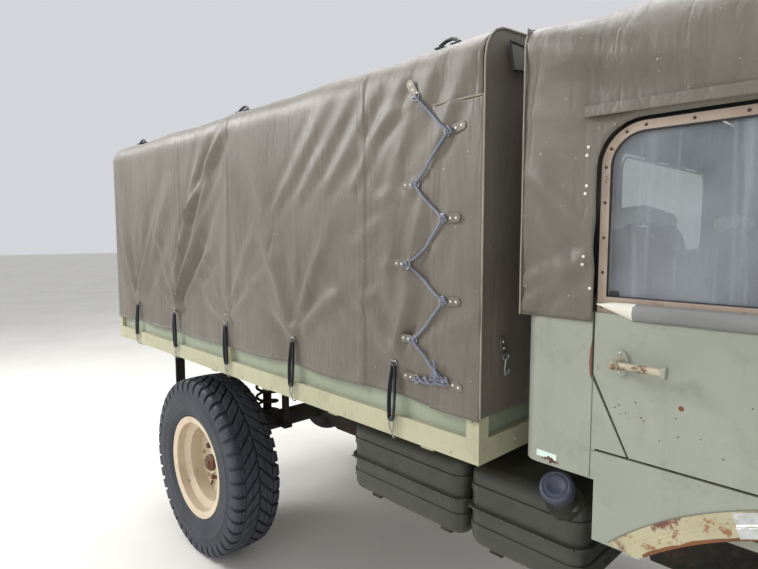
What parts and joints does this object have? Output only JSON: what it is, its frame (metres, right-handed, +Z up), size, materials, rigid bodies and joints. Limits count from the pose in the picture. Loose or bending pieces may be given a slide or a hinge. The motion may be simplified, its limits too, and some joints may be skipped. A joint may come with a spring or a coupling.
{
  "type": "light four-wheel-drive military cargo truck with covered bed",
  "caption": "Light four-wheel-drive military cargo truck, soft-top cab and tarpaulin over a steel bed, with steering, rolling wheels, doors, bonnet and tailgate",
  "frame": {"origin": "on the ground under the middle of the truck", "axes": "+X forward, +Y to the driver's left, +Z up"},
  "size_m": [4.536, 2.37, 2.3895],
  "materials": {
    "body_paint": "faded pale green paint with rust specks",
    "bed_paint": "pale yellow-green paint, weathered",
    "board_paint": "pale green paint on the boards, dusty",
    "chassis_paint": "dark chassis paint with dirt",
    "tank_paint": "dark olive paint, dusty",
    "rim_paint": "cream paint with rust round the hub",
    "tyre_rubber": "blue-black rubber, dusty tread",
    "engine_iron": "dull iron",
    "exhaust_steel": "rusted steel",
    "cap_plastic": "blue-grey ribbed cap",
    "window_frame_metal": "brown paint, rusty",
    "pane": "hazy clear pane",
    "lamp_glass": "fluted lamp glass",
    "grille_metal": "painted bars",
    "black_metal": "black satin paint",
    "black_plastic": "black moulded rim",
    "seat_fabric": "worn grey-cream cover",
    "cab_canvas": "grey-olive canvas",
    "cargo_canvas": "brown-grey coated tarpaulin",
    "bed_wood": "worn boards",
    "bow_steel": "painted tube"
  },
  "bodies": {
    "truck": {"battery_box": "tank_paint", "bed_floor": "bed_wood", "bed_frame": "bed_paint", "bows": "bow_steel", "bumper": "chassis_paint", "cab_back": "body_paint", "cab_cover": "cab_canvas", "cab_floor": "body_paint", "cargo_cover": "cargo_canvas", "chassis_frame": "chassis_paint", "drive_line": "chassis_paint", "engine": "engine_iron", "exhaust": "exhaust_steel", "front_axle": "chassis_paint", "front_board": "board_paint", "front_panel": "body_paint", "fuel_cap": "cap_plastic", "fuel_tanks": "tank_paint", "grille": "grille_metal", "headlamps": "lamp_glass", "mirrors": "black_metal", "rear_axle": "chassis_paint", "rear_lamps": "black_metal", "scuttle": "body_paint", "seat_left": "seat_fabric", "seat_right": "seat_fabric", "side_boards": "board_paint", "steering_column": "black_metal", "suspension": "chassis_paint", "windscreen_frame": "body_paint", "windscreen_glass": "pane", "wing_left": "body_paint", "wing_right": "body_paint"},
    "wheel_front_left_body": {"wheel_front_left": "rim_paint", "tyre_front_left": "tyre_rubber"},
    "wheel_front_right_body": {"wheel_front_right": "rim_paint", "tyre_front_right": "tyre_rubber"},
    "wheel_rear_left_body": {"wheel_rear_left": "rim_paint", "tyre_rear_left": "tyre_rubber"},
    "wheel_rear_right_body": {"wheel_rear_right": "rim_paint", "tyre_rear_right": "tyre_rubber"},
    "knuckle_left_body": {"knuckle_left": "chassis_paint"},
    "knuckle_right_body": {"knuckle_right": "chassis_paint"},
    "tie_rod_body": {"tie_rod": "chassis_paint"},
    "steering_wheel_body": {"steering_wheel": "black_plastic"},
    "door_left_body": {"door_left": "body_paint", "window_frame_left": "window_frame_metal", "window_glass_left": "pane"},
    "door_right_body": {"door_right": "body_paint", "window_frame_right": "window_frame_metal", "window_glass_right": "pane"},
    "bonnet_body": {"bonnet": "body_paint"},
    "tailgate_body": {"tailgate": "board_paint"}
  },
  "joints": [
    {"name": "steer_left", "type": "hinge", "parent": "truck", "child": "knuckle_left_body", "pos_m": [1.468, 0.64, 0.645], "axis": [0, 0, 1], "range_deg": [-32, 32]},
    {"name": "steer_right", "type": "hinge", "parent": "truck", "child": "knuckle_right_body", "pos_m": [1.468, -0.64, 0.645], "axis": [0, 0, 1], "range_deg": [-32, 32]},
    {"name": "tie_rod_swivel", "type": "hinge", "parent": "knuckle_left_body", "child": "tie_rod_body", "pos_m": [1.268, 0.64, 0.54], "axis": [0, 0, 1], "range_deg": [-32, 32]},
    {"name": "steering_turn", "type": "hinge", "parent": "truck", "child": "steering_wheel_body", "pos_m": [1.39, 0.505, 1.64], "axis": [-0.6222, 0, 0.7828], "range_deg": [-545, 545]},
    {"name": "spin_front_left", "type": "hinge", "parent": "knuckle_left_body", "child": "wheel_front_left_body", "pos_m": [1.468, 0.827, 0.495], "axis": [0, 1, 0], "continuous": true},
    {"name": "spin_front_right", "type": "hinge", "parent": "knuckle_right_body", "child": "wheel_front_right_body", "pos_m": [1.468, -0.827, 0.495], "axis": [0, 1, 0], "continuous": true},
    {"name": "spin_rear_left", "type": "hinge", "parent": "truck", "child": "wheel_rear_left_body", "pos_m": [-1.432, 0.827, 0.495], "axis": [0, 1, 0], "continuous": true},
    {"name": "spin_rear_right", "type": "hinge", "parent": "truck", "child": "wheel_rear_right_body", "pos_m": [-1.432, -0.827, 0.495], "axis": [0, 1, 0], "continuous": true},
    {"name": "door_left_swing", "type": "hinge", "parent": "truck", "child": "door_left_body", "pos_m": [1.613, 1.009, 1.435], "axis": [0, 0, -1], "range_deg": [0, 70]},
    {"name": "door_right_swing", "type": "hinge", "parent": "truck", "child": "door_right_body", "pos_m": [1.613, -1.009, 1.435], "axis": [0, 0, 1], "range_deg": [0, 70]},
    {"name": "bonnet_lift", "type": "hinge", "parent": "truck", "child": "bonnet_body", "pos_m": [1.723, 0, 1.609], "axis": [0, -1, 0], "range_deg": [0, 60]},
    {"name": "tailgate_drop", "type": "hinge", "parent": "truck", "child": "tailgate_body", "pos_m": [-2.246, 0, 1.222], "axis": [0, -1, 0], "range_deg": [0, 175]}
  ],
  "couplings": [
    {"joint": "steer_right", "follows": "steer_left", "ratio": 1},
    {"joint": "tie_rod_swivel", "follows": "steer_left", "ratio": -1},
    {"joint": "steering_turn", "follows": "steer_left", "ratio": 17}
  ]
}
